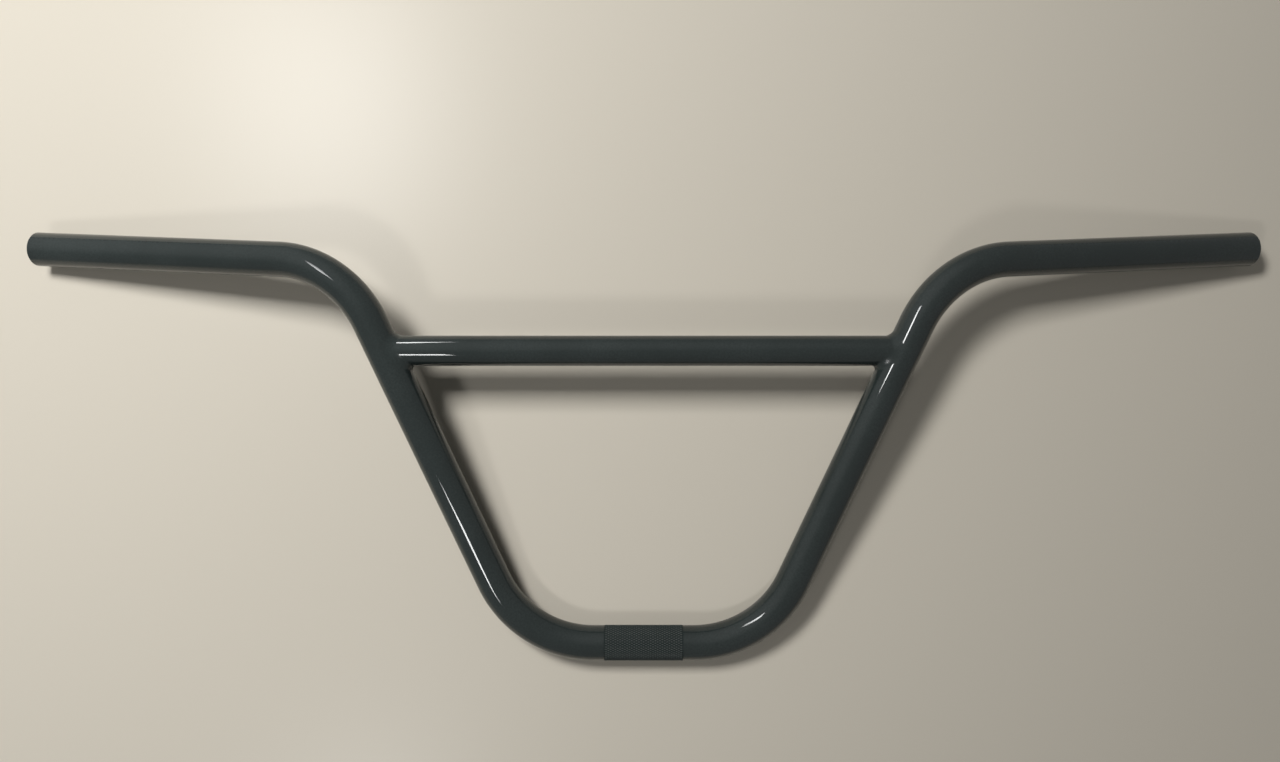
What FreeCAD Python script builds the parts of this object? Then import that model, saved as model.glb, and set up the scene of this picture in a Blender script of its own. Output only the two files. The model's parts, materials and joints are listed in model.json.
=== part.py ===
import FreeCAD, Part
import math
import os

# BMX handlebar: a main tube bent into four corners, with a straight crossbar welded between its legs.
# It lies on its back as it comes to rest on a floor, on the clamp section and the rims of both open ends.
# Origin: on the tube's axis at the middle of the clamp section. +X runs along the clamp section,
# +Y over the floor from the clamp towards the crossbar, +Z up from the floor.
# Lengths are millimetres and angles are degrees.

# Main tube
tube_od = 22.2
tube_wall = 1.5
bar_width = 800.0            # between the centres of the two open ends
bar_rise = 254.0             # from the clamp's axis up to the centres of the open ends
backsweep = 11.0             # the grips turn back from the bar's plane by this
upsweep = 2.3                # the grips climb outwards by this
leg_lean = 24.2              # each leg leans outwards from upright by this
clamp_straight = 65.0        # straight run between the two lower bends
lower_bend_radius = 70.0     # on the tube's axis
upper_bend_radius = 67.5     # on the tube's axis
end_edge_break = 0.4         # bevel on the rims of the open ends
edge_break_share = 0.3       # most of the wall that one bevel may take

# Knurled band where the stem clamps
knurl_length = 51.0
knurl_rise = 0.2             # how far the crests stand above the plain tube

# Crossbar
crossbar_od = 19.05
crossbar_wall = 1.2
crossbar_height = 190.0      # from the clamp's axis up to the crossbar's axis

# Weld bead round each end of the crossbar
weld_leg = 3.5               # from the seam out to the bead's edge, on the leg and on the crossbar

# Limits of the search for the tilt at rest, and for points that count as one
steepest_tilt = 45.0
tilt_accuracy = 1e-10
same_point = 1e-6

tube_radius = tube_od / 2
bore_radius = tube_radius - tube_wall
crossbar_radius = crossbar_od / 2
crossbar_bore_radius = crossbar_radius - crossbar_wall
edge_break = min(end_edge_break, edge_break_share * tube_wall)


def bar_plane_points():
    """Lower corner, upper corner and end of the right half: across, up the bar's plane, out of the plane."""
    climb = math.tan(math.radians(upsweep))
    drop = math.tan(math.radians(backsweep))
    lean = math.tan(math.radians(leg_lean))
    lower_turn = math.radians(90 - leg_lean)
    lower_across = clamp_straight / 2 + lower_bend_radius * math.tan(lower_turn / 2)
    end_across = bar_width / 2
    # The leg's line and the grip's line meet at the upper corner.
    grip_across = (end_across - lower_across - lean * bar_rise) / (1 - lean * climb)
    upper_across = end_across - grip_across
    upper_up = bar_rise - climb * grip_across
    lower_corner = FreeCAD.Vector(lower_across, 0, 0)
    upper_corner = FreeCAD.Vector(upper_across, upper_up, 0)
    end = FreeCAD.Vector(end_across, bar_rise, -drop * grip_across)
    return lower_corner, upper_corner, end


def tilted(point, tilt):
    """A point of the bar's plane, turned up from the floor about the clamp's axis."""
    return FreeCAD.Vector(
        point.x,
        point.y * math.cos(tilt) - point.z * math.sin(tilt),
        point.y * math.sin(tilt) + point.z * math.cos(tilt),
    )


def rest_tilt(upper_corner, end):
    """The tilt at which the rims of the open ends and the knurled band touch one flat floor."""
    grip = (end - upper_corner).normalize()
    rim_centre = end - grip * edge_break

    def rim_above_band(tilt):
        slope = tilted(grip, tilt).z
        rim_bottom = tilted(rim_centre, tilt).z - tube_radius * math.sqrt(1 - slope * slope)
        return rim_bottom + tube_radius + knurl_rise

    low = 0.0
    high = math.radians(steepest_tilt)
    while high - low > tilt_accuracy:
        middle = (low + high) / 2
        if rim_above_band(middle) < 0:
            low = middle
        else:
            high = middle
    return (low + high) / 2


def mirrored(point):
    """The same point on the other half of the bar."""
    return FreeCAD.Vector(-point.x, point.y, point.z)


def bent_path(points, radii):
    """Straight runs between the points, with each inner corner rounded to its bend radius."""
    edges = []
    run_start = points[0]
    for before, corner, after, radius in zip(points, points[1:], points[2:], radii):
        to_before = (before - corner).normalize()
        to_after = (after - corner).normalize()
        half_turn = (math.pi - to_before.getAngle(to_after)) / 2
        setback = radius * math.tan(half_turn)
        bend_start = corner + to_before * setback
        bend_end = corner + to_after * setback
        inwards = (to_before + to_after).normalize()
        bend_middle = corner + inwards * (radius / math.cos(half_turn) - radius)
        edges.append(Part.LineSegment(run_start, bend_start).toShape())
        edges.append(Part.Arc(bend_start, bend_middle, bend_end).toShape())
        run_start = bend_end
    edges.append(Part.LineSegment(run_start, points[-1]).toShape())
    return Part.Wire(edges)


def swept_round(path, radius):
    """A solid round bar along the path."""
    first_run = path.Edges[0]
    start = first_run.valueAt(first_run.FirstParameter)
    along = first_run.tangentAt(first_run.FirstParameter)
    section = Part.Wire([Part.Circle(start, along, radius).toShape()])
    return path.makePipeShell([section], True, False)


def main_tube(bent_bar, path):
    """The bent tube: the round bar with its knurled band, bored through, its end rims bevelled."""
    band_start = FreeCAD.Vector(-knurl_length / 2, 0, 0)
    along_clamp = FreeCAD.Vector(1, 0, 0)
    band = Part.makeCylinder(tube_radius + knurl_rise, knurl_length, band_start, along_clamp)
    tube = bent_bar.fuse(band).cut(swept_round(path, bore_radius))
    ends = [vertex.Point for vertex in (path.OrderedVertexes[0], path.OrderedVertexes[-1])]
    rims = [edge for edge in tube.Edges if is_rim(edge, ends)]
    return tube.makeChamfer(edge_break, rims)


def is_rim(edge, ends):
    """Whether an edge is a circle round one of the tube's end centres."""
    if edge.Curve.TypeId != "Part::GeomCircle":
        return False
    return any(edge.Curve.Center.isEqual(end, same_point) for end in ends)


def crossbar_round(leg_point, radius):
    """A round bar from one leg's axis to the other's, at the crossbar's height."""
    start = mirrored(leg_point)
    span = leg_point - start
    return Part.makeCylinder(radius, span.Length, start, span)


def weld_beads(bent_bar, crossbar_bar):
    """The flat-faced beads in the corners between the crossbar and the two legs."""
    joined = bent_bar.fuse(crossbar_bar)
    seams = [edge for edge in joined.Edges if edge.Curve.TypeId == "Part::GeomBSplineCurve"]
    welded = joined.makeChamfer(weld_leg, seams)
    return Part.makeCompound(welded.cut(bent_bar).cut(crossbar_bar).Solids)


def main():
    lower_corner, upper_corner, end = bar_plane_points()
    tilt = rest_tilt(upper_corner, end)
    leg_share = crossbar_height / upper_corner.y
    leg_point = tilted(lower_corner + (upper_corner - lower_corner) * leg_share, tilt)

    right_half = [tilted(point, tilt) for point in (lower_corner, upper_corner, end)]
    left_half = [mirrored(point) for point in reversed(right_half)]
    radii = [upper_bend_radius, lower_bend_radius, lower_bend_radius, upper_bend_radius]
    path = bent_path(left_half + right_half, radii)
    bent_bar = swept_round(path, tube_radius)
    crossbar_bar = crossbar_round(leg_point, crossbar_radius)

    # The crossbar's ends are mitred to the outside of the legs they meet.
    crossbar = crossbar_bar.cut(crossbar_round(leg_point, crossbar_bore_radius)).cut(bent_bar)
    nodes = {
        "main_tube": main_tube(bent_bar, path),
        "crossbar": crossbar,
        "weld_beads": weld_beads(bent_bar, crossbar_bar),
    }
    os.makedirs("parts", exist_ok=True)
    for name, shape in nodes.items():
        shape.exportStep("parts/" + name + ".step")


main()
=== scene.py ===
import json
import math

import bmesh
import bpy
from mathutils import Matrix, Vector
from mathutils.geometry import interpolate_bezier, intersect_line_line


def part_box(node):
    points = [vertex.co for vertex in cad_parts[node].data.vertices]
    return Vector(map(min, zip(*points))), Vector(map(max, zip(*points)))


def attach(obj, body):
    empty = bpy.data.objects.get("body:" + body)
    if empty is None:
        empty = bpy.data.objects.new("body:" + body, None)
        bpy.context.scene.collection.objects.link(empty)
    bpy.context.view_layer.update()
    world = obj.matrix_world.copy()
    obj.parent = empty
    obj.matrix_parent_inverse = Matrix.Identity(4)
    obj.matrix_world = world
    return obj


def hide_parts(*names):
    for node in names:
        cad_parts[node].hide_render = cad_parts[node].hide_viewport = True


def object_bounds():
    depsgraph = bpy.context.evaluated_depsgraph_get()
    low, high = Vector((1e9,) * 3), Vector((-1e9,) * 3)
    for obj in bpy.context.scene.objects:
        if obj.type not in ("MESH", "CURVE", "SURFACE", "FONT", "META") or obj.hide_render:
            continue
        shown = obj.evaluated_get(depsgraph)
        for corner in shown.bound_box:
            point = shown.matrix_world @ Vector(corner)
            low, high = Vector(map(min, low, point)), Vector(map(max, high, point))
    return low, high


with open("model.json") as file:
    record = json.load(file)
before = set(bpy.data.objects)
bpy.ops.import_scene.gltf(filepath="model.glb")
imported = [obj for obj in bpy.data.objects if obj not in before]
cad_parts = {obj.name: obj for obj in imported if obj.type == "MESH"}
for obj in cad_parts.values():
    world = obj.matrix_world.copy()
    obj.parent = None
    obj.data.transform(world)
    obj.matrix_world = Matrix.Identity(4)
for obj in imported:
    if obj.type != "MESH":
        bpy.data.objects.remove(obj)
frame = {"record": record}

bl_info = {
    "name": "BMX Handlebar",
    "version": (1, 0, 0),
    "blender": (4, 5, 0),
    "location": "3D View > Sidebar > Handlebar",
    "description": "Builds a welded BMX handlebar in gloss black paint over its packed solids",
    "category": "Add Mesh",
}

MM = 0.001
BODY = "root"

# Objects that some of the lamps are kept to.
MAIN_TUBE = "main_tube_bent"
CROSSBAR = "crossbar_mitred"
FLOOR = "floor"

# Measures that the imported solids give.
CAD_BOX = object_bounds()
FLOOR_HEIGHT = CAD_BOX[0][2]
MOUNTS = {mount["name"]: mount for mount in frame["record"]["mounts"]}
GRIP = MOUNTS["right_grip"]
GRIP_MIDDLE = Vector(GRIP["pos_m"])
GRIP_AXIS = Vector(GRIP["axis"]).normalized()
GRIP_LENGTH = GRIP["dims"]["length_mm"] * MM
TUBE_RADIUS = GRIP["dims"]["r_mm"] * MM
BORE_RADIUS = MOUNTS["right_bar_end"]["dims"]["r_mm"] * MM
BAND_RADIUS = MOUNTS["stem_clamp"]["dims"]["r_mm"] * MM
BAND_LENGTH = MOUNTS["stem_clamp"]["dims"]["length_mm"] * MM
CROSSBAR_MIDDLE = (Vector(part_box("crossbar")[0]) + Vector(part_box("crossbar")[1])) / 2

# What the tube's route says at each point: the attribute's type and its value on the plain tube.
BEND_RADIUS = "bend_radius"
BEND_STEPS = "bend_steps"
OUTER_RADIUS = "outer_radius"
INNER_RADIUS = "inner_radius"
KNURL = "knurl"
KNURL_ROW = "knurl_row"
ROUTE = {
    BEND_RADIUS: ("FLOAT", 0.0),
    BEND_STEPS: ("INT", 1),
    OUTER_RADIUS: ("FLOAT", TUBE_RADIUS),
    INNER_RADIUS: ("FLOAT", BORE_RADIUS),
    KNURL: ("FLOAT", 0.0),
    KNURL_ROW: ("INT", 0),
}

# What the tube's node tree takes and gives.
TUBE_SOCKETS = (
    ("Route", "INPUT", "NodeSocketGeometry"),
    ("Round Segments", "INPUT", "NodeSocketInt"),
    ("Knurl Depth", "INPUT", "NodeSocketFloat"),
    ("Paint", "INPUT", "NodeSocketMaterial"),
    ("Knurl Paint", "INPUT", "NodeSocketMaterial"),
    ("Bore Steel", "INPUT", "NodeSocketMaterial"),
    ("Tube", "OUTPUT", "NodeSocketGeometry"),
)

# What the tree writes on the mesh: how far up a diamond a point is, and which faces are the bore's.
CREST = "crest"
IN_BORE = "in_bore"

# The clamp section lies along X, so a place times this points from there to the section's axis.
TO_CLAMP_AXIS = (0.0, -1.0, -1.0)

# Points of the tube that are closer than this become one, and edges that turn more stay sharp.
MERGE_DISTANCE = 0.002 * MM
SHARP_EDGE = math.radians(30)

# How far the hollow of a weld bead follows each surface towards its root, as a share of the way.
BEAD_HOLLOW = 0.45

# Sizes of the materials' patterns in millimetres, and the height of the relief in two of them.
HAZE_PATCH = 45
DUST_SPECK = 1.2
SPRAY_WAVE = 2.4
WELD_RIPPLE = 1.5
RUBBED_PATCH = 6
OXIDE_BLOTCH = 9
BOARD_PEBBLE = 4
PAINT_RELIEF = 0.05 * MM
BOARD_RELIEF = 0.2 * MM

PAINT_IOR = 1.5

# The power to which a crest's height is raised, so that the worn paint and the painted glint on the
# knurl keep to the tips.
TIP_POWER = 2.0

# A Mix node has sockets of one name for every kind of value, so these are picked by number.
NUMBER_A, NUMBER_B, NUMBER_MIX = 2, 3, 0
COLOUR_A, COLOUR_B, COLOUR_MIX = 6, 7, 2

# Half the floor's width, and the distances from the clamp between which it fades to the backdrop.
FLOOR_HALF = 3.0
SWEEP_START = 0.8
SWEEP_END = 2.6

# Where the lamps hang, across and along the floor, and their sizes. The key panel hangs above the
# others, because gloss would miss a strip that lies in its plane.
LAMP_HEIGHT = 1.2
KEY_HEIGHT = 1.22
PANEL_PLACE = (-0.60, 0.76)
PANEL_SIZE = (0.36, 0.44)
NEAR_PLACE = (-0.66, 0.60)
NEAR_SIZE = (0.18, 0.48)
NEAR_TURN = math.radians(60)
NEAR_SPREAD = math.radians(92)
FAR_PLACE = (-0.68, 2.20)
FAR_SIZE = (0.14, 0.80)
FILL_PLACE = (-0.51, -0.59)
FILL_SIZE = (0.24, 0.24)

# The direction from the bar to the ceiling's brightest part, and the cosines of the angle to it
# between which the glow rises. The second is past 1, so the glow stays a little under its strength.
CEILING_GLOW = (-0.5, 0.5, 0.7)
GLOW_EDGE = 0.58
GLOW_PEAK = 1.05

CAMERA_PLACE = (-0.00194, 0.1396, 0.65152)
CAMERA_TURN = (math.radians(2.671), math.radians(0.037), 0.0)
CAMERA_LENS = 27.91
CAMERA_SENSOR = 36.0
CAMERA_NEAR = 0.01


def linear(hex_colour):
    """An sRGB hex colour as linear red, green, blue and alpha."""
    channels = [int(hex_colour[at:at + 2], 16) / 255 for at in (1, 3, 5)]
    return [c / 12.92 if c <= 0.04045 else ((c + 0.055) / 1.055) ** 2.4 for c in channels] + [1.0]


def length_property(name, description, millimetres):
    """A size in metres, given in millimetres."""
    return bpy.props.FloatProperty(
        name=name, description=description, default=millimetres * MM,
        precision=5, unit="LENGTH", subtype="DISTANCE",
    )


def count_property(name, description, count, least, most, step=1):
    """How many segments or steps a rounded shape has."""
    return bpy.props.IntProperty(
        name=name, description=description, default=count, min=least, max=most, step=step
    )


def colour_property(name, description, hex_colour):
    """A colour, given as sRGB hex."""
    return bpy.props.FloatVectorProperty(
        name=name, description=description, default=linear(hex_colour),
        size=4, min=0.0, max=1.0, subtype="COLOR",
    )


def strength_property(name, description, strength):
    """How bright the room is, where 1 is white."""
    return bpy.props.FloatProperty(name=name, description=description, default=strength, min=0.0)


def power_property(name, description, watts):
    """A lamp's power in watts."""
    return bpy.props.FloatProperty(name=name, description=description, default=watts, unit="POWER")


class HandlebarSizes(bpy.types.PropertyGroup):
    """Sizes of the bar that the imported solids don't name."""

    leg_lean: bpy.props.FloatProperty(
        name="Leg Lean", description="How far each leg leans outwards",
        default=math.radians(24.2), subtype="ANGLE",
    )
    clamp_straight: length_property(
        "Clamp Straight", "Straight run between the two lower bends", 65.0
    )
    lower_bend: length_property(
        "Lower Bend", "Bend radius beside the clamp, on the tube's axis", 70.0
    )
    upper_bend: length_property("Upper Bend", "Bend radius at the grips, on the tube's axis", 67.5)
    edge_break: length_property("Edge Break", "Bevel on the rims of the open ends", 0.4)
    knurl_depth: length_property("Knurl Depth", "From the knurl's crests down to its grooves", 0.4)
    knurl_diamond: length_property(
        "Knurl Diamond", "Length of one diamond of the knurl along the tube", 3.0
    )
    crossbar_diameter: length_property("Crossbar Diameter", "Outside of the crossbar", 19.05)
    crossbar_wall: length_property("Crossbar Wall", "Wall of the crossbar", 1.2)
    weld_leg: length_property("Weld Leg", "From a weld's seam out to the bead's edges", 3.5)
    round_segments: count_property(
        "Round Segments", "Segments round the tubes", 88, 24, 160, step=2
    )
    bend_steps: count_property("Bend Steps", "Steps along each bend", 40, 8, 80)
    weld_steps: count_property("Weld Steps", "Steps across a weld bead", 16, 4, 32)


class HandlebarFinish(bpy.types.PropertyGroup):
    """Colours of the paint and the bare steel."""

    paint: colour_property("Paint", "Black enamel", "#252C2B")
    paint_faded: colour_property(
        "Paint, Hazy", "The same enamel under a film of dust and handling", "#2D3433"
    )
    # Lighter grey for the knurl's crests: partly paint rubbed thin, partly a painted glint.
    knurl_crest_wear_and_glint: colour_property(
        "Knurl Crests", "Paint rubbed thin on the knurl's crests", "#6E7270"
    )
    bare_steel: colour_property("Bare Steel", "Drawn steel inside the tube", "#6E6A64")
    steel_oxide: colour_property("Steel Oxide", "Thin brown oxide inside the tube", "#4A3A2C")


class HandlebarStudio(bpy.types.PropertyGroup):
    """Floor and light."""

    floor: colour_property("Floor", "Cream board that the bar lies on", "#CEC7B9")
    room: colour_property("Room", "Light of the room's pale walls and ceiling", "#EDEFEE")
    ambient_strength: strength_property(
        "Ambient Strength", "Even light of the room on the floor and the bar", 0.09
    )
    wall_strength: strength_property(
        "Wall Strength", "Brightness of the walls in the paint's reflections", 0.35
    )
    ceiling_strength: strength_property(
        "Ceiling Strength", "The same where the lamps light the ceiling", 0.75
    )
    backdrop_strength: strength_property(
        "Backdrop Strength", "Brightness of the room behind the bar", 0.75
    )
    key_power: power_property("Key Power", "Soft panel that lights the floor and the bar", 22.0)
    glare_power: power_property("Glare Power", "The same panel's glare on the floor", 13.0)
    near_power: power_property("Near Strip Power", "Strip that the main tube's bends reflect", 3.1)
    far_power: power_property(
        "Far Strip Power", "Strip that the crossbar's upper side reflects", 7.5
    )
    fill_power: power_property(
        "Fill Strip Power", "Strip on the clamp's side, in the left leg", 4.0
    )


def sizes():
    """The scene's sizes of the bar."""
    return bpy.context.scene.handlebar_sizes


def finish():
    """The scene's colours of the bar."""
    return bpy.context.scene.handlebar_finish


def studio():
    """The scene's floor and light."""
    return bpy.context.scene.handlebar_studio


def add_node(tree, kind, inputs=None, **settings):
    """Adds a node with its settings. An input that is a socket is linked, and others are set."""
    node = tree.nodes.new(kind)
    for name, value in settings.items():
        setattr(node, name, value)
    for key, value in (inputs or {}).items():
        if isinstance(value, bpy.types.NodeSocket):
            tree.links.new(value, node.inputs[key])
        else:
            node.inputs[key].default_value = value
    return node


def per_metre(millimetres):
    """The scale at which a texture's pattern repeats about once in this many millimetres."""
    return 1 / (millimetres * MM)


def new_material(name):
    """An empty node material and its tree."""
    material = bpy.data.materials.get(name) or bpy.data.materials.new(name)
    material.use_nodes = True
    material.node_tree.nodes.clear()
    return material, material.node_tree


def black_enamel(name, coat_roughness, wave, strength):
    """Sprayed and baked black enamel on steel, with waves of this many millimetres in it."""
    # Deep green-black under a clear gloss, and a thin film of dust that dulls it in patches.
    material, tree = new_material(name)
    place = add_node(tree, "ShaderNodeTexCoord").outputs["Object"]
    haze = add_node(tree, "ShaderNodeTexNoise", {
        "Vector": place, "Scale": per_metre(HAZE_PATCH), "Detail": 3.0,
    })
    dust = add_node(tree, "ShaderNodeTexNoise", {
        "Vector": place, "Scale": per_metre(DUST_SPECK), "Detail": 2.0,
    })
    film = add_node(tree, "ShaderNodeMath", {
        0: haze.outputs["Fac"], 1: dust.outputs["Fac"],
    }, operation="MULTIPLY")
    film_share = add_node(tree, "ShaderNodeMapRange", {
        "Value": film.outputs[0], "From Min": 0.15, "From Max": 0.40,
    }).outputs["Result"]
    colour = add_node(tree, "ShaderNodeMix", {
        "Factor": film_share, COLOUR_A: finish().paint, COLOUR_B: finish().paint_faded,
    }, data_type="RGBA")
    gloss = add_node(tree, "ShaderNodeMapRange", {
        "Value": film_share, "To Min": 0.24, "To Max": 0.38,
    })
    waves = add_node(tree, "ShaderNodeTexNoise", {
        "Vector": place, "Scale": per_metre(wave), "Detail": 1.0,
    })
    bump = add_node(tree, "ShaderNodeBump", {
        "Height": waves.outputs["Fac"], "Strength": strength, "Distance": PAINT_RELIEF,
    })
    paint = add_node(tree, "ShaderNodeBsdfPrincipled", {
        "Base Color": colour.outputs[COLOUR_MIX],
        "Roughness": gloss.outputs["Result"],
        "IOR": PAINT_IOR,
        "Specular IOR Level": 0.0,
        "Coat Weight": 1.0,
        "Coat Roughness": coat_roughness,
        "Normal": bump.outputs["Normal"],
        "Coat Normal": bump.outputs["Normal"],
    })
    add_node(tree, "ShaderNodeOutputMaterial", {"Surface": paint.outputs["BSDF"]})
    return material


def gloss_black_enamel():
    """The enamel on the plain tubes."""
    # Sharp reflections, a little uneven from the spray.
    return black_enamel("gloss_black_enamel", coat_roughness=0.03, wave=SPRAY_WAVE, strength=0.06)


def weld_enamel():
    """The enamel on the weld beads."""
    # Reflections broken up by the ripples of the weld below it.
    return black_enamel("weld_enamel", coat_roughness=0.25, wave=WELD_RIPPLE, strength=0.6)


def knurled_enamel():
    """The same enamel over the cut diamonds of the clamp band."""
    # Rubbed thin and grey on the crests, where the grey is also a painted glint of the lamps, and
    # dark in the grooves, so it looks duller than the tube.
    material, tree = new_material("knurled_enamel")
    crest = add_node(
        tree, "ShaderNodeAttribute", attribute_name=CREST, attribute_type="GEOMETRY"
    )
    place = add_node(tree, "ShaderNodeTexCoord").outputs["Object"]
    rubs = add_node(tree, "ShaderNodeTexNoise", {
        "Vector": place, "Scale": per_metre(RUBBED_PATCH), "Detail": 3.0,
    })
    wear = add_node(tree, "ShaderNodeMapRange", {
        "Value": rubs.outputs["Fac"], "To Min": 0.6, "To Max": 1.0,
    })
    tips = add_node(tree, "ShaderNodeMath", {
        0: crest.outputs["Fac"], 1: TIP_POWER,
    }, operation="POWER")
    # How far a point turns grey: worn paint on the crests, which also stands in as a painted glint.
    worn_and_glinting = add_node(tree, "ShaderNodeMath", {
        0: tips.outputs[0], 1: wear.outputs["Result"],
    }, operation="MULTIPLY").outputs[0]
    # The crests are lightened towards the grey: partly worn paint, partly a painted glint of the
    # lamps.
    colour = add_node(tree, "ShaderNodeMix", {
        "Factor": worn_and_glinting, COLOUR_A: finish().paint, COLOUR_B: finish().knurl_crest_wear_and_glint,
    }, data_type="RGBA")
    gloss = add_node(tree, "ShaderNodeMapRange", {
        "Value": worn_and_glinting, "To Min": 0.34, "To Max": 0.50,
    })
    paint = add_node(tree, "ShaderNodeBsdfPrincipled", {
        "Base Color": colour.outputs[COLOUR_MIX],
        "Roughness": gloss.outputs["Result"],
        "IOR": PAINT_IOR,
        "Specular IOR Level": 0.1,
    })
    add_node(tree, "ShaderNodeOutputMaterial", {"Surface": paint.outputs["BSDF"]})
    return material


def drawn_steel_bore():
    """Bare drawn steel inside the tube."""
    # Dull grey metal, with brown oxide in blotches that are duller still.
    material, tree = new_material("drawn_steel_bore")
    place = add_node(tree, "ShaderNodeTexCoord").outputs["Object"]
    blotches = add_node(tree, "ShaderNodeTexNoise", {
        "Vector": place, "Scale": per_metre(OXIDE_BLOTCH), "Detail": 5.0,
    })
    oxide = add_node(tree, "ShaderNodeMapRange", {
        "Value": blotches.outputs["Fac"], "From Min": 0.42, "From Max": 0.68,
    }).outputs["Result"]
    colour = add_node(tree, "ShaderNodeMix", {
        "Factor": oxide, COLOUR_A: finish().bare_steel, COLOUR_B: finish().steel_oxide,
    }, data_type="RGBA")
    dullness = add_node(tree, "ShaderNodeMapRange", {
        "Value": oxide, "To Min": 0.42, "To Max": 0.75,
    })
    metal = add_node(tree, "ShaderNodeMapRange", {
        "Value": oxide, "To Min": 1.0, "To Max": 0.25,
    })
    steel = add_node(tree, "ShaderNodeBsdfPrincipled", {
        "Base Color": colour.outputs[COLOUR_MIX],
        "Metallic": metal.outputs["Result"],
        "Roughness": dullness.outputs["Result"],
    })
    add_node(tree, "ShaderNodeOutputMaterial", {"Surface": steel.outputs["BSDF"]})
    return material


def satin_cream_board():
    """Painted board with a satin face."""
    # Warm off-white, with a soft glare and the faint pebble of a rolled coat.
    material, tree = new_material("satin_cream_board")
    place = add_node(tree, "ShaderNodeTexCoord").outputs["Object"]
    pebble = add_node(tree, "ShaderNodeTexNoise", {
        "Vector": place, "Scale": per_metre(BOARD_PEBBLE), "Detail": 2.0,
    })
    bump = add_node(tree, "ShaderNodeBump", {
        "Height": pebble.outputs["Fac"], "Strength": 0.12, "Distance": BOARD_RELIEF,
    })
    board = add_node(tree, "ShaderNodeBsdfPrincipled", {
        "Base Color": studio().floor,
        "Roughness": 0.30,
        "IOR": 1.45,
        "Specular IOR Level": 0.2,
        "Normal": bump.outputs["Normal"],
    })

    # Far from the bar it runs into the pale backdrop for the camera, as a studio's sweep does.
    distance = add_node(tree, "ShaderNodeVectorMath", {0: place}, operation="LENGTH")
    far = add_node(tree, "ShaderNodeMapRange", {
        "Value": distance.outputs["Value"], "From Min": SWEEP_START, "From Max": SWEEP_END,
    }, interpolation_type="SMOOTHSTEP")
    rays = add_node(tree, "ShaderNodeLightPath").outputs
    seen = add_node(tree, "ShaderNodeMath", {
        0: far.outputs["Result"], 1: rays["Is Camera Ray"],
    }, operation="MULTIPLY")
    backdrop = add_node(tree, "ShaderNodeEmission", {
        "Color": studio().room, "Strength": studio().backdrop_strength,
    })
    sweep = add_node(tree, "ShaderNodeMixShader", {
        0: seen.outputs[0], 1: board.outputs["BSDF"], 2: backdrop.outputs[0],
    })
    add_node(tree, "ShaderNodeOutputMaterial", {"Surface": sweep.outputs[0]})
    return material


def leg_direction():
    """The way the right leg runs, from the clamp upwards."""
    tilt = math.atan2(CROSSBAR_MIDDLE.z, CROSSBAR_MIDDLE.y)
    lean = sizes().leg_lean
    up = math.cos(lean)
    return Vector((math.sin(lean), up * math.cos(tilt), up * math.sin(tilt)))


def lower_corner():
    """Where the axes of the clamp section and the right leg meet."""
    turn = math.pi / 2 - sizes().leg_lean
    return Vector((sizes().clamp_straight / 2 + sizes().lower_bend * math.tan(turn / 2), 0, 0))


def mirrored(point):
    """The same point on the other half of the bar."""
    return Vector((-point.x, point.y, point.z))


def clamp_rows():
    """Places of the knurl's rows across the clamp. The outer two run out flush with the tube."""
    count = round(BAND_LENGTH / (sizes().knurl_diamond / 2))
    for row in range(count + 1):
        place = Vector((BAND_LENGTH * (row / count - 0.5), 0, 0))
        cut = {OUTER_RADIUS: BAND_RADIUS, KNURL: 1.0, KNURL_ROW: row}
        yield place, {} if row in (0, count) else cut


def half_route():
    """Points of the right half from the clamp outwards, with what differs from the plain tube."""
    lower = lower_corner()
    upper, _ = intersect_line_line(
        lower, lower + leg_direction(), GRIP_MIDDLE, GRIP_MIDDLE + GRIP_AXIS
    )
    edge = sizes().edge_break
    bevel_start = GRIP_MIDDLE + GRIP_AXIS * GRIP_LENGTH / 2
    end = bevel_start + GRIP_AXIS * edge
    steps = sizes().bend_steps
    return [
        (lower, {BEND_RADIUS: sizes().lower_bend, BEND_STEPS: steps}),
        (upper, {BEND_RADIUS: sizes().upper_bend, BEND_STEPS: steps}),
        (bevel_start, {}),
        (end, {OUTER_RADIUS: TUBE_RADIUS - edge, INNER_RADIUS: BORE_RADIUS + edge}),
        (end, {OUTER_RADIUS: BORE_RADIUS + edge, INNER_RADIUS: BORE_RADIUS + edge}),
    ]


def tube_route():
    """A mesh line along the tube's axis from the left end to the right one, with its attributes."""
    right = half_route()
    left = [(mirrored(point), values) for point, values in reversed(right)]
    route = left + list(clamp_rows()) + right
    points = [point for point, _ in route]
    mesh = bpy.data.meshes.new("main_tube_route")
    mesh.from_pydata(points, [(at, at + 1) for at in range(len(points) - 1)], [])
    for name, (kind, plain) in ROUTE.items():
        values = mesh.attributes.new(name, kind, "POINT").data
        for at, (_, differs) in enumerate(route):
            values[at].value = differs.get(name, plain)
    return mesh


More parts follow.
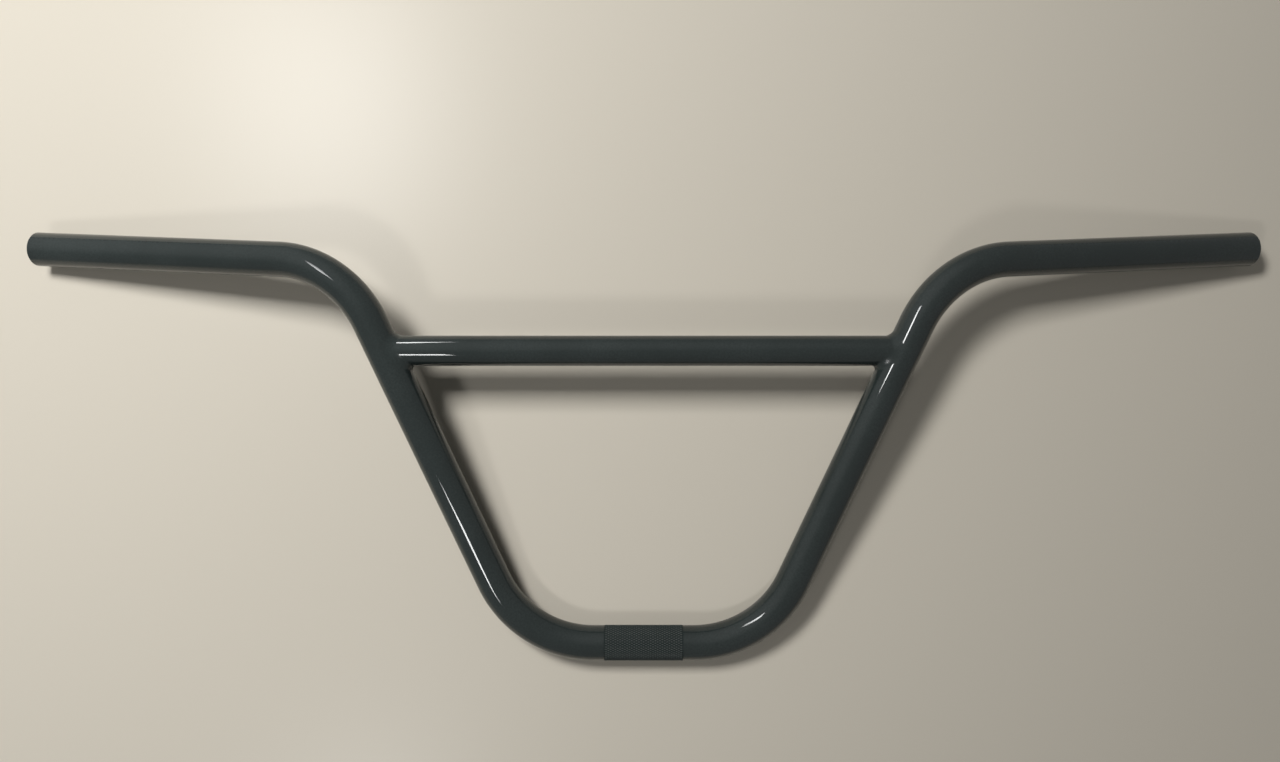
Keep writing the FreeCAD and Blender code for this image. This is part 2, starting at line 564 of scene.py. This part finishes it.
def bent_tube_tree():
    """Node tree that makes a hollow bent tube with a knurled band from its route."""
    tree = bpy.data.node_groups.new("bent_tube", "GeometryNodeTree")
    for name, side, kind in TUBE_SOCKETS:
        tree.interface.new_socket(name, in_out=side, socket_type=kind)
    given = add_node(tree, "NodeGroupInput").outputs
    along = {
        name: add_node(
            tree, "GeometryNodeInputNamedAttribute", {"Name": name}, data_type=kind
        ).outputs[0]
        for name, (kind, _) in ROUTE.items()
    }

    # The axis: straight runs with each corner rounded to its bend radius.
    line = add_node(tree, "GeometryNodeMeshToCurve", {"Mesh": given["Route"]})
    axis = add_node(tree, "GeometryNodeFilletCurve", {
        "Curve": line.outputs[0], "Count": along[BEND_STEPS], "Radius": along[BEND_RADIUS],
    }, mode="POLY").outputs[0]
    ring = add_node(tree, "GeometryNodeCurvePrimitiveCircle", {
        "Resolution": given["Round Segments"], "Radius": 1.0,
    })
    skins = {
        name: add_node(tree, "GeometryNodeCurveToMesh", {
            "Curve": axis, "Profile Curve": ring.outputs["Curve"], "Scale": along[name],
        }).outputs[0]
        for name in (OUTER_RADIUS, INNER_RADIUS)
    }

    # The knurl: every second point of the band, chequerwise, sinks to the bottom of a groove.
    index = add_node(tree, "GeometryNodeInputIndex").outputs[0]
    around = add_node(tree, "ShaderNodeMath", {
        0: index, 1: given["Round Segments"],
    }, operation="MODULO")
    chequer = add_node(tree, "ShaderNodeMath", {
        0: around.outputs[0], 1: along[KNURL_ROW],
    }, operation="ADD")
    groove = add_node(tree, "ShaderNodeMath", {0: chequer.outputs[0], 1: 2.0}, operation="MODULO")
    sunk = add_node(tree, "ShaderNodeMath", {
        0: groove.outputs[0], 1: along[KNURL],
    }, operation="MULTIPLY").outputs[0]
    crest = add_node(tree, "ShaderNodeMath", {0: along[KNURL], 1: sunk}, operation="SUBTRACT")
    depth = add_node(tree, "ShaderNodeMath", {
        0: sunk, 1: given["Knurl Depth"],
    }, operation="MULTIPLY")
    place = add_node(tree, "GeometryNodeInputPosition").outputs[0]
    to_axis = add_node(tree, "ShaderNodeVectorMath", {
        0: place, 1: TO_CLAMP_AXIS,
    }, operation="MULTIPLY")
    inwards = add_node(tree, "ShaderNodeVectorMath", {0: to_axis.outputs[0]}, operation="NORMALIZE")
    offset = add_node(tree, "ShaderNodeVectorMath", {
        0: inwards.outputs[0], "Scale": depth.outputs[0],
    }, operation="SCALE")
    crested = add_node(tree, "GeometryNodeStoreNamedAttribute", {
        "Geometry": skins[OUTER_RADIUS], "Name": CREST, "Value": crest.outputs[0],
    }, data_type="FLOAT", domain="POINT")
    outside = add_node(tree, "GeometryNodeSetPosition", {
        "Geometry": crested.outputs[0], "Offset": offset.outputs[0],
    })

    # The bore faces the axis, and its first and last rings close the rims.
    marked = add_node(tree, "GeometryNodeStoreNamedAttribute", {
        "Geometry": skins[INNER_RADIUS], "Name": IN_BORE, "Value": True,
    }, data_type="BOOLEAN", domain="FACE")
    bore = add_node(tree, "GeometryNodeFlipFaces", {"Mesh": marked.outputs[0]})
    both = add_node(tree, "GeometryNodeJoinGeometry")
    for skin in (outside, bore):
        tree.links.new(skin.outputs[0], both.inputs[0])
    closed = add_node(tree, "GeometryNodeMergeByDistance", {
        "Geometry": both.outputs[0], "Distance": MERGE_DISTANCE,
    })

    # Each square of the band folds along its groove, so the crests are pyramids.
    in_bore = add_node(
        tree, "GeometryNodeInputNamedAttribute", {"Name": IN_BORE}, data_type="BOOLEAN"
    ).outputs[0]
    on_outside = add_node(tree, "FunctionNodeBooleanMath", {0: in_bore}, operation="NOT")
    on_knurl = add_node(tree, "FunctionNodeCompare", {
        "A": along[KNURL], "B": 0.0,
    }, operation="GREATER_THAN")
    in_band = add_node(tree, "FunctionNodeBooleanMath", {
        0: on_knurl.outputs[0], 1: on_outside.outputs[0],
    }, operation="AND").outputs[0]
    folded = add_node(tree, "GeometryNodeTriangulate", {
        "Mesh": closed.outputs[0], "Selection": in_band,
    }, quad_method="SHORTEST_DIAGONAL")

    # The plain tube is smooth, and the band's facets and the rims stay sharp.
    off_band = add_node(tree, "FunctionNodeBooleanMath", {0: in_band}, operation="NOT")
    smooth = add_node(tree, "GeometryNodeSetShadeSmooth", {
        "Geometry": folded.outputs[0], "Shade Smooth": off_band.outputs[0],
    }, domain="FACE")
    angle = add_node(tree, "GeometryNodeInputMeshEdgeAngle").outputs["Unsigned Angle"]
    sharp = add_node(tree, "FunctionNodeCompare", {
        "A": angle, "B": SHARP_EDGE,
    }, operation="GREATER_THAN")
    shaded = add_node(tree, "GeometryNodeSetShadeSmooth", {
        "Geometry": smooth.outputs[0], "Selection": sharp.outputs[0], "Shade Smooth": False,
    }, domain="EDGE")

    real = add_node(tree, "GeometryNodeRealizeInstances", {"Geometry": shaded.outputs[0]})
    painted = add_node(tree, "GeometryNodeSetMaterial", {
        "Geometry": real.outputs[0], "Material": given["Paint"],
    })
    bored = add_node(tree, "GeometryNodeSetMaterial", {
        "Geometry": painted.outputs[0], "Selection": in_bore, "Material": given["Bore Steel"],
    })
    knurled = add_node(tree, "GeometryNodeSetMaterial", {
        "Geometry": bored.outputs[0], "Selection": in_band, "Material": given["Knurl Paint"],
    })
    add_node(tree, "NodeGroupOutput", {"Tube": knurled.outputs[0]})
    return tree


def node_mesh(name, start, tree, values):
    """The plain mesh that a node tree makes from a start mesh and its named inputs."""
    worker = bpy.data.objects.new(name + "_nodes", start)
    bpy.context.scene.collection.objects.link(worker)
    modifier = worker.modifiers.new(name, "NODES")
    modifier.node_group = tree
    for item in tree.interface.items_tree:
        if item.in_out == "INPUT" and item.name in values:
            modifier[item.identifier] = values[item.name]
    evaluated = worker.evaluated_get(bpy.context.evaluated_depsgraph_get())
    mesh = bpy.data.meshes.new_from_object(evaluated)
    for at in reversed(range(len(mesh.materials))):
        if mesh.materials[at] is None:
            mesh.materials.pop(index=at)
    worker.modifiers.remove(modifier)
    bpy.data.objects.remove(worker)
    bpy.data.meshes.remove(start)
    for leftover in ROUTE:
        mesh.attributes.remove(mesh.attributes[leftover])
    mesh.name = name
    return mesh


def add_piece(name, mesh, *nodes):
    """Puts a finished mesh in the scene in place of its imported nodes."""
    if not mesh.polygons:
        raise RuntimeError(name + " has no faces")
    piece = bpy.data.objects.new(name, mesh)
    bpy.context.scene.collection.objects.link(piece)
    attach(piece, BODY)
    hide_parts(*nodes)


def leg_reach(y, z, radius):
    """Where a line along X at (y, z) comes to a round of this radius about the right leg's axis."""
    direction = leg_direction()
    along = y * direction.y + z * direction.z
    flat = 1 - direction.x ** 2
    off_axis = y * y + z * z - along * along - radius * radius
    inside = (direction.x * along) ** 2 - flat * off_axis
    return lower_corner().x + (direction.x * along - math.sqrt(inside)) / flat


def round_crossbar(turn, radius):
    """Place and outward direction round the crossbar's axis."""
    outwards = Vector((0, math.cos(turn), math.sin(turn)))
    return CROSSBAR_MIDDLE + outwards * radius, outwards


def turns():
    """The angles of the round segments."""
    count = sizes().round_segments
    return [2 * math.pi * step / count for step in range(count)]


def ring_mesh(name, sections, sharp_places):
    """A closed ring of like sections. The edges along the ring at the sharp places stay sharp."""
    build = bmesh.new()
    loops = [[build.verts.new(point) for point in section] for section in sections]
    pairs = list(zip(loops, loops[1:] + loops[:1]))
    size = len(sections[0])
    for loop, following in pairs:
        for place in range(size):
            beyond = (place + 1) % size
            corners = (loop[place], loop[beyond], following[beyond], following[place])
            build.faces.new(corners).smooth = True
    bmesh.ops.recalc_face_normals(build, faces=build.faces)
    for loop, following in pairs:
        for place in sharp_places:
            build.edges.get((loop[place], following[place])).smooth = False
    mesh = bpy.data.meshes.new(name)
    build.to_mesh(mesh)
    build.free()
    return mesh


def crossbar_section(turn):
    """One line of the crossbar's wall: outside from leg to leg, then back along the bore."""
    radius = sizes().crossbar_diameter / 2
    section = []
    for at, sides in ((radius, (-1, 1)), (radius - sizes().crossbar_wall, (1, -1))):
        place, _ = round_crossbar(turn, at)
        reach = leg_reach(place.y, place.z, TUBE_RADIUS)
        section += [Vector((side * reach, place.y, place.z)) for side in sides]
    return section


def off_crossbar(point):
    """The nearest point on the crossbar's axis, and the outward direction from there."""
    axis_point = Vector((point.x, CROSSBAR_MIDDLE.y, CROSSBAR_MIDDLE.z))
    return axis_point, (point - axis_point).normalized()


def off_leg(point):
    """The nearest point on the right leg's axis, and the outward direction from there."""
    corner = lower_corner()
    axis_point = corner + leg_direction() * (point - corner).dot(leg_direction())
    return axis_point, (point - axis_point).normalized()


def bead_section(turn):
    """One section of the right weld bead: its root, then its hollow face from crossbar to leg."""
    crossbar_radius = sizes().crossbar_diameter / 2
    root, from_crossbar = round_crossbar(turn, crossbar_radius)
    root.x = leg_reach(root.y, root.z, TUBE_RADIUS)
    _, from_leg = off_leg(root)
    slope = from_crossbar.dot(from_leg)
    edges = []
    handles = []
    # Each edge is the weld's leg away from the seam, and the face leaves the surface along it.
    for off_axis, radius, away in (
        (off_crossbar, crossbar_radius, from_leg - from_crossbar * slope),
        (off_leg, TUBE_RADIUS, from_crossbar - from_leg * slope),
    ):
        axis_point, outwards = off_axis(root + away.normalized() * sizes().weld_leg)
        edge = axis_point + outwards * radius
        inwards = root - edge
        edges.append(edge)
        handles.append(edge + (inwards - outwards * inwards.dot(outwards)) * BEAD_HOLLOW)
    return [root] + interpolate_bezier(edges[0], *handles, edges[1], sizes().weld_steps + 1)


class HANDLEBAR_OT_main_tube(bpy.types.Operator):
    """Builds the bent tube with its knurled clamp band and open ends"""

    bl_idname = "handlebar.main_tube"
    bl_label = "Main Tube"

    def execute(self, context):
        mesh = node_mesh(MAIN_TUBE, tube_route(), bent_tube_tree(), {
            "Round Segments": sizes().round_segments,
            "Knurl Depth": sizes().knurl_depth,
            "Paint": gloss_black_enamel(),
            "Knurl Paint": knurled_enamel(),
            "Bore Steel": drawn_steel_bore(),
        })
        add_piece(MAIN_TUBE, mesh, "main_tube")
        return {"FINISHED"}


class HANDLEBAR_OT_crossbar(bpy.types.Operator):
    """Builds the crossbar, its ends mitred to the legs"""

    bl_idname = "handlebar.crossbar"
    bl_label = "Crossbar"

    def execute(self, context):
        sections = [crossbar_section(turn) for turn in turns()]
        mesh = ring_mesh(CROSSBAR, sections, range(len(sections[0])))
        mesh.materials.append(gloss_black_enamel())
        add_piece(CROSSBAR, mesh, "crossbar")
        return {"FINISHED"}


class HANDLEBAR_OT_weld_beads(bpy.types.Operator):
    """Builds the two weld beads where the crossbar meets the legs"""

    bl_idname = "handlebar.weld_beads"
    bl_label = "Weld Beads"

    def execute(self, context):
        right = [bead_section(turn) for turn in turns()]
        left = [[mirrored(point) for point in section] for section in right]
        root_and_edges = (0, 1, len(right[0]) - 1)
        for name, sections in (("weld_bead_left", left), ("weld_bead_right", right)):
            mesh = ring_mesh(name, sections, root_and_edges)
            mesh.materials.append(weld_enamel())
            add_piece(name, mesh, "weld_beads")
        return {"FINISHED"}


def lay_floor(scene):
    """Lays the board that the bar lies on."""
    mesh = bpy.data.meshes.new(FLOOR)
    signs = ((-1, -1), (1, -1), (1, 1), (-1, 1))
    corners = [(x * FLOOR_HALF, y * FLOOR_HALF, FLOOR_HEIGHT) for x, y in signs]
    mesh.from_pydata(corners, [], [(0, 1, 2, 3)])
    mesh.materials.append(satin_cream_board())
    floor = bpy.data.objects.new(FLOOR, mesh)
    scene.collection.objects.link(floor)


def panel_lamp(name, power, place, size, height=LAMP_HEIGHT, turn=0.0, spread=math.pi):
    """A soft rectangular lamp that faces down, or is turned from there towards the right grip."""
    data = bpy.data.lights.new(name, "AREA")
    data.energy = power
    data.shape = "RECTANGLE"
    data.size, data.size_y = size
    data.spread = spread
    lamp = bpy.data.objects.new(name, data)
    lamp.location = (*place, height)
    lamp.rotation_euler = (0.0, -turn, 0.0)
    bpy.context.scene.collection.objects.link(lamp)
    return lamp


def show_only_in(lamp, name):
    """Makes a lamp one that shows as gloss on one object, and lights nothing."""
    lamp.visible_diffuse = False
    receivers = bpy.data.collections.new(lamp.name + "_receivers")
    receivers.objects.link(bpy.data.objects[name])
    lamp.light_linking.receiver_collection = receivers


def hang_lamps():
    """Hangs a panel that lights, three lamps that only show as gloss, and one that does both."""
    key = panel_lamp("key_panel", studio().key_power, PANEL_PLACE, PANEL_SIZE, KEY_HEIGHT)
    key.visible_glossy = False
    near = panel_lamp(
        "near_strip", studio().near_power, NEAR_PLACE, NEAR_SIZE,
        turn=NEAR_TURN, spread=NEAR_SPREAD,
    )
    far = panel_lamp("far_strip", studio().far_power, FAR_PLACE, FAR_SIZE)
    glare = panel_lamp("glare_panel", studio().glare_power, PANEL_PLACE, PANEL_SIZE)
    show_only_in(near, MAIN_TUBE)
    show_only_in(far, CROSSBAR)
    show_only_in(glare, FLOOR)
    panel_lamp("fill_strip", studio().fill_power, FILL_PLACE, FILL_SIZE)


def light_room(scene):
    """Gives the room's light: dim and even on surfaces, and in gloss brightest round the lamps."""
    scene.world = bpy.data.worlds.new("room")
    scene.world.use_nodes = True
    tree = scene.world.node_tree
    tree.nodes.clear()
    way = add_node(tree, "ShaderNodeTexCoord").outputs["Generated"]
    nearness = add_node(tree, "ShaderNodeVectorMath", {
        0: way, 1: Vector(CEILING_GLOW).normalized(),
    }, operation="DOT_PRODUCT")
    ceiling = add_node(tree, "ShaderNodeMapRange", {
        "Value": nearness.outputs["Value"], "From Min": GLOW_EDGE, "From Max": GLOW_PEAK,
        "To Min": studio().wall_strength, "To Max": studio().ceiling_strength,
    }, interpolation_type="SMOOTHSTEP")
    rays = add_node(tree, "ShaderNodeLightPath").outputs
    indirect = add_node(tree, "ShaderNodeMix", {
        "Factor": rays["Is Glossy Ray"],
        NUMBER_A: studio().ambient_strength,
        NUMBER_B: ceiling.outputs["Result"],
    }, data_type="FLOAT")
    strength = add_node(tree, "ShaderNodeMix", {
        "Factor": rays["Is Camera Ray"],
        NUMBER_A: indirect.outputs[NUMBER_MIX],
        NUMBER_B: studio().backdrop_strength,
    }, data_type="FLOAT")
    light = add_node(tree, "ShaderNodeBackground", {
        "Color": studio().room, "Strength": strength.outputs[NUMBER_MIX],
    })
    add_node(tree, "ShaderNodeOutputWorld", {"Surface": light.outputs[0]})


def place_camera(scene):
    """Places the camera, looking down on the bar."""
    lens = bpy.data.cameras.new("camera")
    lens.sensor_fit = "HORIZONTAL"
    lens.sensor_width = CAMERA_SENSOR
    lens.lens = CAMERA_LENS
    lens.clip_start = CAMERA_NEAR
    camera = bpy.data.objects.new("camera", lens)
    camera.location = CAMERA_PLACE
    camera.rotation_euler = CAMERA_TURN
    scene.collection.objects.link(camera)
    scene.camera = camera


class HANDLEBAR_OT_stage(bpy.types.Operator):
    """Lays the floor, sets the lamps and the room's light, and places the camera"""

    bl_idname = "handlebar.stage"
    bl_label = "Stage"

    def execute(self, context):
        lay_floor(context.scene)
        hang_lamps()
        light_room(context.scene)
        place_camera(context.scene)
        context.scene.view_settings.view_transform = "Standard"
        return {"FINISHED"}


OPERATORS = (
    HANDLEBAR_OT_main_tube,
    HANDLEBAR_OT_crossbar,
    HANDLEBAR_OT_weld_beads,
    HANDLEBAR_OT_stage,
)


class HANDLEBAR_PT_panel(bpy.types.Panel):
    """Sizes, finish and steps of the handlebar"""

    bl_idname = "HANDLEBAR_PT_panel"
    bl_label = "Handlebar"
    bl_space_type = "VIEW_3D"
    bl_region_type = "UI"
    bl_category = "Handlebar"

    def draw(self, context):
        layout = self.layout
        for group in (sizes(), finish(), studio()):
            box = layout.box()
            for name in group.__annotations__:
                box.prop(group, name)
        for operator in OPERATORS:
            layout.operator(operator.bl_idname)


GROUPS = {
    "handlebar_sizes": HandlebarSizes,
    "handlebar_finish": HandlebarFinish,
    "handlebar_studio": HandlebarStudio,
}
CLASSES = (*GROUPS.values(), *OPERATORS, HANDLEBAR_PT_panel)


def register():
    for cls in CLASSES:
        bpy.utils.register_class(cls)
    for name, group in GROUPS.items():
        setattr(bpy.types.Scene, name, bpy.props.PointerProperty(type=group))


def unregister():
    for name in GROUPS:
        delattr(bpy.types.Scene, name)
    for cls in reversed(CLASSES):
        bpy.utils.unregister_class(cls)


def main():
    register()
    bpy.ops.handlebar.main_tube()
    bpy.ops.handlebar.crossbar()
    bpy.ops.handlebar.weld_beads()
    bpy.ops.handlebar.stage()
    bpy.context.view_layer.update()


if __name__ == "__main__":
    main()
